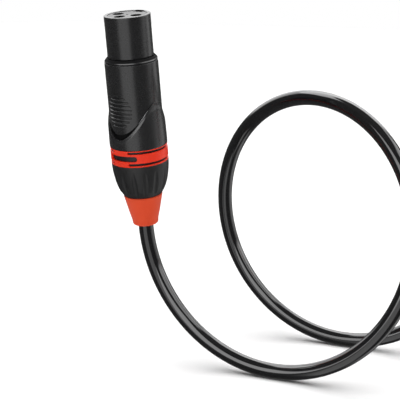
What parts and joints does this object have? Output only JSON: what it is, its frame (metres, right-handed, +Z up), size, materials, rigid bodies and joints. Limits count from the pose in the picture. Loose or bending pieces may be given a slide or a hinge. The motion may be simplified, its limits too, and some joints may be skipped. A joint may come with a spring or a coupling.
{
  "type": "xlr cable coil",
  "caption": "Coiled balanced audio cable standing on its rim, with a latching socket connector at one end and a plug connector at the other, each with a colour ring, nut and flexible boot.",
  "frame": {"origin": "on the floor under the middle of the coil", "axes": "+Z up, +Y along the coil's own axis from the socket connector's end to the plug connector's end, +X from the socket connector's side to the plug connector's side"},
  "size_m": [0.1138, 0.1149, 0.1286],
  "materials": {
    "jacket": "glossy black flexible jacket",
    "shield": "bare copper spiral shield",
    "hot_insulation": "red wire insulation",
    "cold_insulation": "white wire insulation",
    "copper": "bare copper strands",
    "solder": "soft solder",
    "shell_black": "satin black coated zinc shell",
    "insert_black": "moulded contact carrier",
    "gold": "gold plated contact",
    "spring_steel": "stainless spring steel",
    "black_plastic": "satin black moulded plastic",
    "ring_red": "red moulded plastic",
    "chuck_natural": "natural acetal",
    "boot_red": "red soft elastomer"
  },
  "bodies": {
    "coil": {"coil_jacket": "jacket", "coil_shield": "shield", "coil_hot_wire": "hot_insulation", "coil_cold_wire": "cold_insulation", "coil_drain_wire": "copper"},
    "socket_end": {"socket_tail_jacket": "jacket", "socket_tail_shield": "shield", "socket_hot_wire": "hot_insulation", "socket_cold_wire": "cold_insulation", "socket_drain_wire": "copper", "socket_wire_tips": "copper", "socket_solder": "solder", "socket_shell": "shell_black", "socket_insert": "insert_black", "socket_contact_1": "gold", "socket_contact_2": "gold", "socket_contact_3": "gold", "socket_ground_clip": "spring_steel", "socket_sleeve": "black_plastic", "socket_colour_ring": "ring_red", "socket_chuck": "chuck_natural", "latch_pin": "spring_steel"},
    "socket_boot": {"socket_boot": "boot_red"},
    "socket_nut": {"socket_nut": "black_plastic"},
    "plug_end": {"plug_tail_jacket": "jacket", "plug_tail_shield": "shield", "plug_hot_wire": "hot_insulation", "plug_cold_wire": "cold_insulation", "plug_drain_wire": "copper", "plug_wire_tips": "copper", "plug_solder": "solder", "plug_shell": "shell_black", "plug_insert": "insert_black", "plug_contact_1": "gold", "plug_contact_2": "gold", "plug_contact_3": "gold", "plug_ground_clip": "spring_steel", "plug_sleeve": "black_plastic", "plug_colour_ring": "ring_red", "plug_chuck": "chuck_natural"},
    "plug_boot": {"plug_boot": "boot_red"},
    "plug_nut": {"plug_nut": "black_plastic"},
    "latch": {"latch_lever": "black_plastic", "latch_spring": "spring_steel"}
  },
  "joints": [
    {"name": "socket_tail_flex", "type": "hinge", "parent": "coil", "child": "socket_end", "pos_m": [-0.03481, -0.03096, 0.01784], "axis": [0, 1, 0], "range_deg": [-25, 25], "stiffness_Nm_per_rad": 0.02},
    {"name": "socket_boot_slide", "type": "slide", "parent": "socket_end", "child": "socket_boot", "axis": [-0.0344, 0.162, -0.9862], "range_m": [0, 0.0025]},
    {"name": "socket_nut_turn", "type": "hinge", "parent": "socket_boot", "child": "socket_nut", "pos_m": [-0.04701, -0.03975, 0.06813], "axis": [-0.0344, 0.162, -0.9862], "range_deg": [0, 720]},
    {"name": "plug_tail_flex", "type": "hinge", "parent": "coil", "child": "plug_end", "pos_m": [0.03481, 0.03096, 0.01784], "axis": [0, 1, 0], "range_deg": [-25, 25], "stiffness_Nm_per_rad": 0.02},
    {"name": "plug_boot_slide", "type": "slide", "parent": "plug_end", "child": "plug_boot", "axis": [0.0344, -0.162, -0.9862], "range_m": [0, 0.0025]},
    {"name": "plug_nut_turn", "type": "hinge", "parent": "plug_boot", "child": "plug_nut", "pos_m": [0.04701, 0.03975, 0.06813], "axis": [0.0344, -0.162, -0.9862], "range_deg": [0, 720]},
    {"name": "latch_press", "type": "hinge", "parent": "socket_end", "child": "latch", "pos_m": [-0.04623, -0.03641, 0.09036], "axis": [0.9994, 0, -0.0349], "range_deg": [0, 2.4], "stiffness_Nm_per_rad": 0.4, "springref_deg": -8.02, "deforming": ["latch_spring"]}
  ],
  "couplings": [
    {"joint": "socket_nut_turn", "follows": "socket_boot_slide", "rad_per_m": 5026.5},
    {"joint": "plug_nut_turn", "follows": "plug_boot_slide", "rad_per_m": 5026.5}
  ]
}
